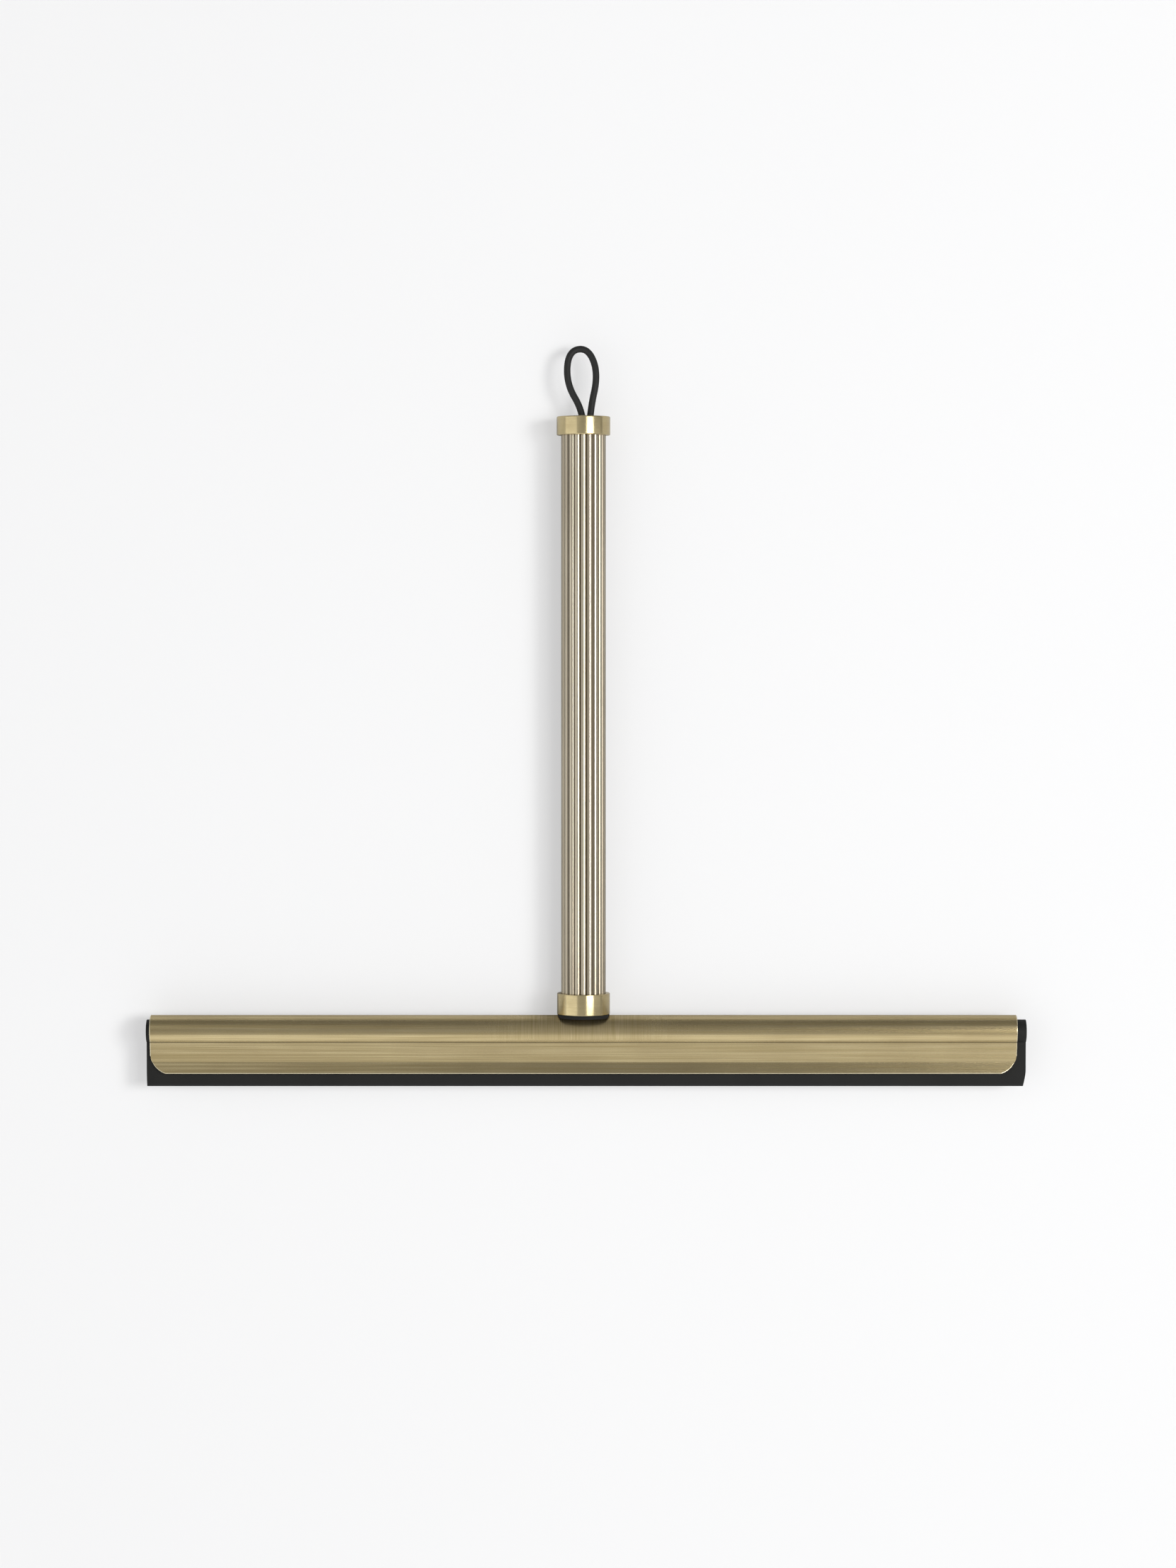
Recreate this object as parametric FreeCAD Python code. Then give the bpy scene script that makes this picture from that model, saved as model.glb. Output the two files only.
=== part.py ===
import FreeCAD, Part
import math
import os

# Window cleaning squeegee, lying on its back on a table.
# X runs along the blade, +Y runs up the handle to the hanging loop, +Z points up from the table.
# The origin is on the table under the handle's axis, halfway along the object's length.
# All sizes are in millimetres.

# ---- Blade and channel -------------------------------------------------------------------
BLADE_LENGTH = 350.0          # rubber, end to end
RUBBER_OVERHANG = 5.2         # the rubber is this much longer than the brass channel
BLADE_OFFSET = 1.1            # the rubber sits this far along +X from the middle of the channel
LIP_REACH = 5.1               # rubber standing out below the channel's lips
CHANNEL_DEPTH = 23.2          # lip edge to the top of the spine
SHEET = 1.0                   # brass sheet thickness
SPINE_RADIUS = 6.1            # outside of the rolled spine
JAW_TAPER = 1.8               # each jaw closes by this from the spine's crease to the pinch
LIP_DEPTH = 4.4               # the lips that open outwards below the pinch
LIP_FLARE = 1.4               # how far each lip opens outwards over that depth
CORNER_WIDTH = 6.2            # rounded lower corners of the jaws, along the channel
CORNER_DEPTH = 7.0            # the same, up the jaw
CORNER_RADIUS = 9.0
CUT_EDGE_ROUND = 0.25         # outside cut edges at the channel's ends, broken by deburring

PLY = 1.2                     # thickness of one layer of the doubled rubber strip
PLY_GAP = 0.2                 # between its two layers
JAW_CLEARANCE = 0.1           # rubber to jaw at the pinch, each side
BEAD_CLEARANCE = 0.5          # folded rubber to the inside of the spine
BEAD_DROP = 0.3               # the rubber hangs this far low in the spine
ROD_CLEARANCE = 0.05          # core rod in the fold

# ---- Handle ------------------------------------------------------------------------------
GRIP_LENGTH = 221.4           # fluted tube that shows between collar and cap
TUBE_RADIUS = 8.85            # over the crests of the reeds
REED_DEPTH = 0.75             # crest to groove
REED_COUNT = 20
TUBE_WALL = 1.2               # behind the grooves
SOCKET_CLEARANCE = 0.1        # tube in the collar's and the cap's sockets, radial
PLUG_CLEARANCE = 0.04         # bonded plug and bush in the tube's bore, radial
THREAD_CLEARANCE = 0.04       # threads are drawn as plain cylinders this far apart, radial

COLLAR_WALL = 1.55            # round the tube
COLLAR_HEIGHT = 8.3
COLLAR_SOCKET = 3.4           # depth of the tube's seat in the collar
COLLAR_WEB = 2.4              # floor between the tube's seat and the foot's recess
COLLAR_CHAMFER = 0.25
WASHER_INSET = 0.15           # washer's edge inside the collar's
WASHER_SEAT = 0.5             # rubber between the collar and the ridge of the spine
WASHER_SKIRT = 1.0            # how far the washer wraps down past the ridge
STUD_RADIUS = 4.0             # M8
STUD_LENGTH = 17.0            # above its foot
FOOT_FLANGE = 2.4             # foot round the stud
FOOT_CLEARANCE = 0.15
PLUG_LENGTH = 18.0
STUD_HOLE_CLEARANCE = 0.25

CAP_WALL = 1.65               # round the tube
CAP_HEIGHT = 7.4
CAP_SOCKET = 2.6              # depth of the tube's seat in the cap
CAP_ROUND = 0.5               # softened outer edges
SPIGOT_LENGTH = 9.0           # threaded tail of the cap, and the bush it screws into
BUSH_SHARE = 0.607            # of the room between the cord's hole and the tube's bore, taken by the bush

# ---- Hanging loop ------------------------------------------------------------------------
CORD_DIAMETER = 2.65
CORD_HOLE_CLEARANCE = 0.3     # the pair of strands in the cap
STRAND_GAP = 0.07             # between the two strands in the crimp
CRIMP_CATCH = 0.5             # the crimp is this much wider than the cap's hole, radial
CRIMP_LENGTH = 6.5
CRIMP_GAP = 0.4               # below the cap's spigot
CRIMP_CLEARANCE = 0.2         # crimp to the tube's bore, radial
CORD_SIDE = 1.2               # the pair of strands sits this far off the handle's axis
ARC_SHARE = 0.45              # of the shorter run, taken by each bend

# ---- Places worked out from those sizes --------------------------------------------------
CHANNEL_LENGTH = BLADE_LENGTH - RUBBER_OVERHANG
COLLAR_RADIUS = TUBE_RADIUS + SOCKET_CLEARANCE + COLLAR_WALL
CAP_RADIUS = TUBE_RADIUS + SOCKET_CLEARANCE + CAP_WALL
TUBE_BORE = TUBE_RADIUS - REED_DEPTH - TUBE_WALL
WASHER_RADIUS = COLLAR_RADIUS - WASHER_INSET
FOOT_RADIUS = STUD_RADIUS + FOOT_FLANGE
STRAND = (CORD_DIAMETER + STRAND_GAP) / 2
CORD_HOLE_RADIUS = CORD_SIDE + STRAND + CORD_DIAMETER / 2 + CORD_HOLE_CLEARANCE
CRIMP_RADIUS = CORD_HOLE_RADIUS + CRIMP_CATCH
CRIMP_SIDE = min(CORD_SIDE, TUBE_BORE - CRIMP_RADIUS - CRIMP_CLEARANCE)
BUSH_WALL = BUSH_SHARE * (TUBE_BORE - PLUG_CLEARANCE - THREAD_CLEARANCE - CORD_HOLE_RADIUS)
SPIGOT_RADIUS = TUBE_BORE - PLUG_CLEARANCE - BUSH_WALL - THREAD_CLEARANCE
AXIS_Z = max(CAP_RADIUS, COLLAR_RADIUS)
LIP_Y = LIP_REACH
SPINE_TOP = LIP_Y + CHANNEL_DEPTH
SPINE_Y = SPINE_TOP - SPINE_RADIUS
PINCH_Y = LIP_Y + LIP_DEPTH
COLLAR_Y = SPINE_TOP + WASHER_SEAT
COLLAR_TOP = COLLAR_Y + COLLAR_HEIGHT
TUBE_START = COLLAR_TOP - COLLAR_SOCKET
WEB_Y = TUBE_START - COLLAR_WEB
CAP_Y = COLLAR_TOP + GRIP_LENGTH
TUBE_END = CAP_Y + CAP_SOCKET
CAP_TOP = CAP_Y + CAP_HEIGHT
SPIGOT_END = TUBE_END - SPIGOT_LENGTH
CRIMP_TOP = SPIGOT_END - CRIMP_GAP
CRIMP_END = CRIMP_TOP - CRIMP_LENGTH
MID_Y = CAP_TOP / 2.0         # the origin is under the middle of the length without the cord

V = FreeCAD.Vector
ALONG = V(1, 0, 0)
UP_HANDLE = V(0, 1, 0)


def save(name, shape):
    """Moves a piece to the origin in the middle of the object and writes it."""
    placed = shape.copy()
    placed.translate(V(0, -MID_Y, AXIS_Z))
    placed.exportStep(os.path.join("parts", name + ".step"))
    print(f"{name:16s} solids {len(placed.Solids)}  volume {placed.Volume:10.1f}  valid {placed.isValid()}")


def turned(radius, start, end, x=0.0):
    """A round bar along the handle, from one height up it to another."""
    return Part.makeCylinder(radius, end - start, V(x, start, 0), UP_HANDLE)


def spine_bar(radius, start_x, length, y=SPINE_Y):
    """A round bar along the spine."""
    return Part.makeCylinder(radius, length, V(start_x, y, 0), ALONG)


def section_face(outline, x):
    """A closed outline across the blade: two points make a straight piece, three points an arc."""
    edges = []
    for piece in outline:
        ends = [V(x, y, z) for y, z in piece]
        if len(ends) == 2:
            edges.append(Part.LineSegment(*ends).toShape())
        else:
            edges.append(Part.Arc(*ends).toShape())
    return Part.Face(Part.Wire(edges))


def circle_drop(radius, half_width):
    """How far below its centre a circle reaches a given half width."""
    return math.sqrt(radius ** 2 - half_width ** 2)


# The jaws close on the two layers of rubber, and their faces lie one sheet thickness apart.
BLADE_HALF = PLY + PLY_GAP / 2
PINCH_HALF_WIDTH = BLADE_HALF + JAW_CLEARANCE + SHEET
CREASE_HALF_WIDTH = PINCH_HALF_WIDTH + JAW_TAPER
CREASE_Y = SPINE_Y - circle_drop(SPINE_RADIUS, CREASE_HALF_WIDTH)
INNER_CREASE = CREASE_HALF_WIDTH - SHEET
INNER_PINCH = PINCH_HALF_WIDTH - SHEET
INNER_CREASE_Y = SPINE_Y - circle_drop(SPINE_RADIUS - SHEET, INNER_CREASE)
LIP_HALF_WIDTH = PINCH_HALF_WIDTH + LIP_FLARE


def channel_section(x):
    """The folded sheet seen from its end: a rolled spine, two jaws that close on the rubber, flared lips."""
    inner_lip = LIP_HALF_WIDTH - SHEET
    outline = [
        [(LIP_Y, -inner_lip), (LIP_Y, -LIP_HALF_WIDTH)],
        [(LIP_Y, -LIP_HALF_WIDTH), (PINCH_Y, -PINCH_HALF_WIDTH)],
        [(PINCH_Y, -PINCH_HALF_WIDTH), (CREASE_Y, -CREASE_HALF_WIDTH)],
        [(CREASE_Y, -CREASE_HALF_WIDTH), (SPINE_TOP, 0), (CREASE_Y, CREASE_HALF_WIDTH)],
        [(CREASE_Y, CREASE_HALF_WIDTH), (PINCH_Y, PINCH_HALF_WIDTH)],
        [(PINCH_Y, PINCH_HALF_WIDTH), (LIP_Y, LIP_HALF_WIDTH)],
        [(LIP_Y, LIP_HALF_WIDTH), (LIP_Y, inner_lip)],
        [(LIP_Y, inner_lip), (PINCH_Y, INNER_PINCH)],
        [(PINCH_Y, INNER_PINCH), (INNER_CREASE_Y, INNER_CREASE)],
        [(INNER_CREASE_Y, INNER_CREASE), (SPINE_TOP - SHEET, 0), (INNER_CREASE_Y, -INNER_CREASE)],
        [(INNER_CREASE_Y, -INNER_CREASE), (PINCH_Y, -INNER_PINCH)],
        [(PINCH_Y, -INNER_PINCH), (LIP_Y, -inner_lip)],
    ]
    return section_face(outline, x)


def corner_cutter(side):
    """The metal punched away at one lower corner of both jaws."""
    end_x = side * CHANNEL_LENGTH / 2
    top = V(end_x, LIP_Y + CORNER_DEPTH, 0)
    foot = V(end_x - side * CORNER_WIDTH, LIP_Y, 0)
    chord = foot - top
    half = chord.Length / 2
    rise = CORNER_RADIUS - math.sqrt(CORNER_RADIUS ** 2 - half ** 2)
    outwards = V(side * CORNER_DEPTH, -CORNER_WIDTH, 0).normalize()
    middle = (top + foot) * 0.5 + outwards * rise
    beyond = 2.0
    corner = [
        foot,
        V(foot.x, LIP_Y - beyond, 0),
        V(end_x + side * beyond, LIP_Y - beyond, 0),
        V(end_x + side * beyond, top.y, 0),
        top,
    ]
    edges = [Part.LineSegment(a, b).toShape() for a, b in zip(corner, corner[1:])]
    edges.append(Part.Arc(top, middle, foot).toShape())
    depth = SPINE_RADIUS + beyond
    face = Part.Face(Part.Wire(edges))
    face.translate(V(0, 0, -depth))
    return face.extrude(V(0, 0, 2 * depth))


def blade_channel():
    start = -CHANNEL_LENGTH / 2
    channel = channel_section(start).extrude(V(CHANNEL_LENGTH, 0, 0))
    for side in (-1, 1):
        channel = channel.cut(corner_cutter(side))
    ends = (start, start + CHANNEL_LENGTH)
    rounded = []
    for edge in channel.Edges:
        box = edge.BoundBox
        on_end = any(abs(box.XMin - x) < 1e-6 and abs(box.XMax - x) < 1e-6 for x in ends)
        if on_end and edge.Curve.TypeId == "Part::GeomCircle" and edge.Curve.Radius > SPINE_RADIUS - SHEET / 2:
            rounded.append(edge)
    return channel.makeFillet(CUT_EDGE_ROUND, rounded)


# The doubled strip: its fold is a round bead in the spine, and its two layers pass the jaws together.
BEAD_RADIUS = SPINE_RADIUS - SHEET - BEAD_CLEARANCE
BEAD_Y = SPINE_Y - BEAD_DROP
FOLD_BORE = BEAD_RADIUS - PLY


def rubber_blade():
    start = BLADE_OFFSET - BLADE_LENGTH / 2
    neck = BEAD_Y - circle_drop(BEAD_RADIUS, BLADE_HALF)
    inner_neck = BEAD_Y - circle_drop(FOLD_BORE, PLY_GAP / 2)
    outline = [
        [(0, -BLADE_HALF), (neck, -BLADE_HALF)],
        [(neck, -BLADE_HALF), (BEAD_Y + BEAD_RADIUS, 0), (neck, BLADE_HALF)],
        [(neck, BLADE_HALF), (0, BLADE_HALF)],
        [(0, BLADE_HALF), (0, PLY_GAP / 2)],
        [(0, PLY_GAP / 2), (inner_neck, PLY_GAP / 2)],
        [(inner_neck, PLY_GAP / 2), (BEAD_Y + FOLD_BORE, 0), (inner_neck, -PLY_GAP / 2)],
        [(inner_neck, -PLY_GAP / 2), (0, -PLY_GAP / 2)],
        [(0, -PLY_GAP / 2), (0, -BLADE_HALF)],
    ]
    return section_face(outline, start).extrude(V(BLADE_LENGTH, 0, 0))


def core_rod():
    return spine_bar(FOLD_BORE - ROD_CLEARANCE, BLADE_OFFSET - CHANNEL_LENGTH / 2, CHANNEL_LENGTH, BEAD_Y)


# The handle's stud stands on a saddle foot that is brazed to the ridge of the spine.
SKIRT_Y = SPINE_TOP - WASHER_SKIRT
FOOT_TOP = WEB_Y - FOOT_CLEARANCE


def spine_saddle():
    """The spine as a solid bar, to hollow what sits on it."""
    reach = 4 * WASHER_RADIUS
    return spine_bar(SPINE_RADIUS, -reach / 2, reach)


def handle_stud():
    stud = turned(FOOT_RADIUS, SKIRT_Y, FOOT_TOP).fuse(turned(STUD_RADIUS, SKIRT_Y, FOOT_TOP + STUD_LENGTH))
    return stud.cut(spine_saddle()).removeSplitter()


def saddle_washer():
    ring = turned(WASHER_RADIUS, SKIRT_Y, COLLAR_Y).cut(turned(FOOT_RADIUS + FOOT_CLEARANCE, SKIRT_Y, COLLAR_Y))
    return ring.cut(spine_saddle())


def rim_edges(shape, radius, heights):
    """The round edges of one radius about the handle's axis at the given heights."""
    found = []
    for edge in shape.Edges:
        round_edge = edge.Curve.TypeId == "Part::GeomCircle" and abs(edge.Curve.Radius - radius) < 1e-6
        if round_edge and any(abs(edge.Curve.Center.y - y) < 1e-6 for y in heights):
            found.append(edge)
    return found


def lower_collar():
    collar = turned(COLLAR_RADIUS, COLLAR_Y, COLLAR_TOP)
    collar = collar.cut(turned(TUBE_RADIUS + SOCKET_CLEARANCE, TUBE_START, COLLAR_TOP))
    collar = collar.cut(turned(STUD_RADIUS + STUD_HOLE_CLEARANCE, WEB_Y, TUBE_START))
    collar = collar.cut(turned(FOOT_RADIUS + FOOT_CLEARANCE, COLLAR_Y, WEB_Y))
    return collar.makeChamfer(COLLAR_CHAMFER, rim_edges(collar, COLLAR_RADIUS, (COLLAR_Y, COLLAR_TOP)))


def lower_plug():
    plug = turned(TUBE_BORE - PLUG_CLEARANCE, TUBE_START, TUBE_START + PLUG_LENGTH)
    return plug.cut(turned(STUD_RADIUS + THREAD_CLEARANCE, TUBE_START, TUBE_START + PLUG_LENGTH))


def reeded_outline():
    """The tube's outside: rounded reeds side by side, each an arc from groove to groove."""
    groove = TUBE_RADIUS - REED_DEPTH
    pitch = 2 * math.pi / REED_COUNT

    def at(radius, angle):
        return V(radius * math.sin(angle), TUBE_START, radius * math.cos(angle))

    edges = []
    for number in range(REED_COUNT):
        middle = number * pitch
        reed = Part.Arc(at(groove, middle - pitch / 2), at(TUBE_RADIUS, middle), at(groove, middle + pitch / 2))
        edges.append(reed.toShape())
    return Part.Face(Part.Wire(edges))


def handle_tube():
    tube = reeded_outline().extrude(V(0, TUBE_END - TUBE_START, 0))
    return tube.cut(turned(TUBE_BORE, TUBE_START, TUBE_END))


def cap_bush():
    bush = turned(TUBE_BORE - PLUG_CLEARANCE, SPIGOT_END, TUBE_END)
    return bush.cut(turned(SPIGOT_RADIUS + THREAD_CLEARANCE, SPIGOT_END, TUBE_END))


def end_cap():
    cap = turned(CAP_RADIUS, CAP_Y, CAP_TOP)
    cap = cap.makeFillet(CAP_ROUND, rim_edges(cap, CAP_RADIUS, (CAP_Y, CAP_TOP)))
    cap = cap.cut(turned(TUBE_RADIUS + SOCKET_CLEARANCE, CAP_Y, TUBE_END))
    cap = cap.fuse(turned(SPIGOT_RADIUS, SPIGOT_END, TUBE_END))
    return cap.cut(turned(CORD_HOLE_RADIUS, SPIGOT_END, CAP_TOP)).removeSplitter()


# The loop's route by hand, as (sideways from the handle's axis, up the handle from the cap's top,
# height over the axis): out of the crimp, through the cap, round the loop and back.
LOOP_ROUTE = [
    (CORD_SIDE - STRAND, CRIMP_END - CAP_TOP - 1.0, 0.0),
    (CORD_SIDE - STRAND, -9.9, 0.1),
    (CORD_SIDE - STRAND, 2.0, 0.0),
    (-6.8, 13.2, -0.7),
    (-6.0, 26.0, -1.9),
    (1.8, 27.4, -2.1),
    (5.9, 17.2, -0.8),
    (CORD_SIDE + STRAND, 2.0, 0.0),
    (CORD_SIDE + STRAND, -9.9, -0.1),
    (CORD_SIDE + STRAND, CRIMP_END - CAP_TOP - 1.0, 0.0),
]


def loop_points():
    return [V(side, CAP_TOP + up, rise) for side, up, rise in LOOP_ROUTE]


def cord_loop():
    """A round cord along straight runs that tangent arcs join."""
    points = loop_points()
    edges = []
    length = 0.0
    start = points[0]
    for before, corner, after in zip(points, points[1:], points[2:]):
        back = before - corner
        ahead = after - corner
        reach = ARC_SHARE * min(back.Length, ahead.Length)
        back.normalize()
        ahead.normalize()
        turn = math.pi - back.getAngle(ahead)
        radius = reach / math.tan(turn / 2)
        print(f"  cord bend: turn {math.degrees(turn):5.1f} deg, radius {radius:7.1f} mm")
        arc_start = corner + back * reach
        arc_end = corner + ahead * reach
        bisector = (back + ahead).normalize()
        centre_distance = math.hypot(reach, radius)
        middle = corner + bisector * (centre_distance - radius)
        edges.append(Part.LineSegment(start, arc_start).toShape())
        edges.append(Part.Arc(arc_start, middle, arc_end).toShape())
        length += (arc_start - start).Length + radius * turn
        start = arc_end
    edges.append(Part.LineSegment(start, points[-1]).toShape())
    length += (points[-1] - start).Length
    ring = Part.Circle(points[0], points[1] - points[0], CORD_DIAMETER / 2)
    cord = Part.Wire(edges).makePipeShell([Part.Wire(ring.toShape())], True, False)
    expected = math.pi * (CORD_DIAMETER / 2) ** 2 * length
    print(f"  cord length {length:.1f} mm, volume {cord.Volume:.1f}, section times length {expected:.1f}")
    return cord


def cord_crimp(cord):
    """A metal sleeve squeezed round both ends of the cord."""
    sleeve = turned(CRIMP_RADIUS, CRIMP_END, CRIMP_TOP, CRIMP_SIDE)
    return sleeve.cut(cord)


def build():
    os.makedirs("parts", exist_ok=True)
    cord = cord_loop()
    save("blade_channel", blade_channel())
    save("rubber_blade", rubber_blade())
    save("core_rod", core_rod())
    save("handle_stud", handle_stud())
    save("saddle_washer", saddle_washer())
    save("lower_collar", lower_collar())
    save("lower_plug", lower_plug())
    save("handle_tube", handle_tube())
    save("cap_bush", cap_bush())
    save("end_cap", end_cap())
    save("cord_loop", cord)
    save("cord_crimp", cord_crimp(cord))


build()
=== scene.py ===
import math

import bmesh
import bpy
import numpy as np
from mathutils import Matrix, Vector


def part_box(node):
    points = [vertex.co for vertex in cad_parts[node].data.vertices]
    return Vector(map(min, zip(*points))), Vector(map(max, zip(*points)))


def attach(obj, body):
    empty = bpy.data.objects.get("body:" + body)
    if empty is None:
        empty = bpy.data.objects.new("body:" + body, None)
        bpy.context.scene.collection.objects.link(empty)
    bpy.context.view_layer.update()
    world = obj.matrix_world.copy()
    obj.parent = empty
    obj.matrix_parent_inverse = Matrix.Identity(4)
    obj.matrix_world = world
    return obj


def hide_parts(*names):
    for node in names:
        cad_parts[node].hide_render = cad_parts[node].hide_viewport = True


# A window squeegee: brass channel, doubled rubber, reeded brass grip and a cord to hang it by.
# It lies on its back: X runs along the blade, +Y up the grip to the cord, +Z up from the table.
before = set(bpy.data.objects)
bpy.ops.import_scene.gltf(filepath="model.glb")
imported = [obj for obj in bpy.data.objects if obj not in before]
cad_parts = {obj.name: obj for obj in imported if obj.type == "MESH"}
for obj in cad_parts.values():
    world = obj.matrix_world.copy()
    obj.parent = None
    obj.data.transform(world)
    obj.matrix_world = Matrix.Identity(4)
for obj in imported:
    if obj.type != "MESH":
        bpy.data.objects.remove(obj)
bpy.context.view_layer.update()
MM = 0.001


# ---- Blade channel -----------------------------------------------------------------------
# One strip of 1 mm half-hard brass, folded lengthwise round a mandrel: a rolled spine, two jaws
# that nip the rubber, and lips that open again. It was brushed along its length, linished across
# where the grip was brazed on, and its sawn ends and corners were deburred by hand.
SHEET = 1.0 * MM
LIP_DEPTH = 4.4 * MM          # lip edge to the nip
NIP_HALF = 1.9 * MM           # middle of the sheet from the blade's plane, at the nip
LIP_HALF = 3.3 * MM           # the same at the lip edge
CREASE_HALF = 3.7 * MM        # the same where the jaw turns into the spine
BEND_SOFTNESS = 0.16 * MM     # how far a fold is rounded either side of its line
PATH_STEP = 0.05 * MM         # spacing of the points that the folds are rounded with
PATH_REACH = 24               # how many of them either side take part
EDGE_ROUND = 0.24 * MM        # deburred edges
DEBURR_RINGS = 5              # outlines that round each end
CREASE_SHADE_REACH = 0.38 * MM     # how far the painted shade of the crease spreads either side of its line
CORNER_WIDTH = 6.2 * MM       # corners cut round at both ends of the lips
CORNER_DEPTH = 7.0 * MM
CORNER_RADIUS = 9.0 * MM
CORNER_RINGS = 22             # outlines along a cut corner

channel_low, channel_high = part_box("blade_channel")
SPINE_RADIUS = (channel_high.z - channel_low.z) / 2
BLADE_Z = (channel_high.z + channel_low.z) / 2
SPINE_Y = channel_high.y - SPINE_RADIUS
FOLD_RADIUS = SPINE_RADIUS - SHEET / 2
CREASE_Y = SPINE_Y - math.sqrt(FOLD_RADIUS ** 2 - CREASE_HALF ** 2)


def fold_path():
    """The middle of the sheet from one lip edge up its jaw to the spine's ridge, as points and distances."""
    lip_y = channel_low.y
    corners = [(lip_y, LIP_HALF), (lip_y + LIP_DEPTH, NIP_HALF), (CREASE_Y, CREASE_HALF)]
    start = math.atan2(CREASE_HALF, CREASE_Y - SPINE_Y)
    corners += [
        (SPINE_Y + FOLD_RADIUS * math.cos(angle), FOLD_RADIUS * math.sin(angle))
        for angle in np.linspace(start, 0.0, 90)[1:]
    ]
    corners = np.array(corners)
    along = np.concatenate([[0.0], np.cumsum(np.linalg.norm(np.diff(corners, axis=0), axis=1))])
    distance = np.arange(0.0, along[-1], PATH_STEP)
    points = np.stack([np.interp(distance, along, corners[:, k]) for k in (0, 1)], axis=1)
    reach = np.arange(-PATH_REACH, PATH_REACH + 1)
    weight = np.exp(-0.5 * (reach * PATH_STEP / BEND_SOFTNESS) ** 2)
    weight /= weight.sum()
    # the path goes on straight past the lip, and as its own mirror image past the ridge
    past_lip = 2 * points[:1] - points[PATH_REACH:0:-1]
    past_ridge = points[-2:-PATH_REACH - 2:-1] * (1, -1)
    mirrored = np.concatenate([past_lip, points, past_ridge])
    soft = np.stack([np.convolve(mirrored[:, k], weight, "valid") for k in (0, 1)], axis=1)
    return soft, distance


PATH, PATH_DISTANCE = fold_path()
PATH_SLOPE = np.gradient(PATH, PATH_DISTANCE, axis=0)
PATH_SLOPE /= np.linalg.norm(PATH_SLOPE, axis=1)[:, None]
CREASE_LINE = float(np.interp(CREASE_Y, PATH[:, 0], PATH_DISTANCE))
CREASE_REACH = 0.7 * MM       # the outline's points stand closer this far either side of the crease
CREASE_AT = CREASE_LINE - CREASE_REACH
CREASE_END = CREASE_LINE + CREASE_REACH
PATH_STEPS = np.concatenate([
    np.linspace(0, CREASE_AT, 40),
    np.linspace(CREASE_AT, CREASE_END, 15)[1:],
    np.linspace(CREASE_END, PATH_DISTANCE[-1], 56)[1:],
])


def channel_ring(x, cut, inset):
    """The folded sheet's outline at one place along it: cut is how much of the lip is gone there,
    and inset how far the outline is drawn in by the deburring of the end."""
    half = SHEET / 2 - inset
    low = float(np.interp(channel_low.y + cut, PATH[:, 0], PATH_DISTANCE)) + inset
    corner = min(EDGE_ROUND, half)
    squeeze = (CREASE_AT - low) / CREASE_AT
    spots = np.where(PATH_STEPS < CREASE_AT, low + PATH_STEPS * squeeze, PATH_STEPS)
    spots[0] = low + corner
    spots[1:] = np.maximum(spots[1:], low + corner * 1.4 + PATH_STEPS[1:] * 0.02)

    def off(distance, height):
        point = np.array([np.interp(distance, PATH_DISTANCE, PATH[:, k]) for k in (0, 1)])
        slope = np.array([np.interp(distance, PATH_DISTANCE, PATH_SLOPE[:, k]) for k in (0, 1)])
        return point + height * np.array([-slope[1], slope[0]])

    outside = [off(d, half) for d in spots]
    inside = [off(d, -half) for d in spots]
    edge = [off(low + corner * a, half - corner * b) for a, b in ((0.45, 0.16), (0.16, 0.45), (0.0, 1.0))]
    edge += [off(low + corner * a, -half + corner * b) for a, b in ((0.0, 1.0), (0.16, 0.45), (0.45, 0.16))]

    def flipped(points):
        return [p * (1, -1) for p in points]

    loop = outside + flipped(outside[-2::-1]) + flipped(edge) + flipped(inside) + inside[-2::-1] + edge[::-1]
    return [(x, y, BLADE_Z + z) for y, z in loop]


def skin(name, rings, ends=(), closed=False):
    """A mesh over rings of points, each joined to the next. ends are the faces that close both end
    rings, and closed joins the last ring to the first instead. U runs round the rings, V across them."""
    rings = np.array(rings)
    count, size = rings.shape[:2]
    faces = []
    corners = []
    around = np.linalg.norm(np.diff(rings[count // 2], axis=0, append=rings[count // 2][:1]), axis=1)
    u = np.concatenate([[0.0], np.cumsum(around)])
    v = np.concatenate([[0.0], np.cumsum(np.linalg.norm(np.diff(rings[:, 0], axis=0), axis=1))])
    v = np.append(v, v[-1] + np.linalg.norm(rings[0, 0] - rings[-1, 0]))
    for i in range(count if closed else count - 1):
        for j in range(size):
            k = (j + 1) % size
            n = (i + 1) % count
            faces.append((i * size + j, i * size + k, n * size + k, n * size + j))
            corners += [(u[j], v[i]), (u[j + 1], v[i]), (u[j + 1], v[i + 1]), (u[j], v[i + 1])]
    for face in ends:
        faces.append(tuple(reversed(face)))
        faces.append(tuple((count - 1) * size + j for j in face))
        corners += [tuple(rings[0, j, 1:]) for j in reversed(face)]
        corners += [tuple(rings[-1, j, 1:]) for j in face]
    mesh = bpy.data.meshes.new(name)
    mesh.from_pydata(rings.reshape(-1, 3).tolist(), [], faces)
    uv = mesh.uv_layers.new(name="across")
    uv.data.foreach_set("uv", np.array(corners, np.float32).ravel())
    solid = bmesh.new()
    solid.from_mesh(mesh)
    bmesh.ops.recalc_face_normals(solid, faces=solid.faces)
    solid.to_mesh(mesh)
    solid.free()
    mesh.shade_smooth()
    mesh.set_sharp_from_angle(angle=math.radians(38))
    mesh.update()
    piece = bpy.data.objects.new(name, mesh)
    bpy.context.scene.collection.objects.link(piece)
    return piece


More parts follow.
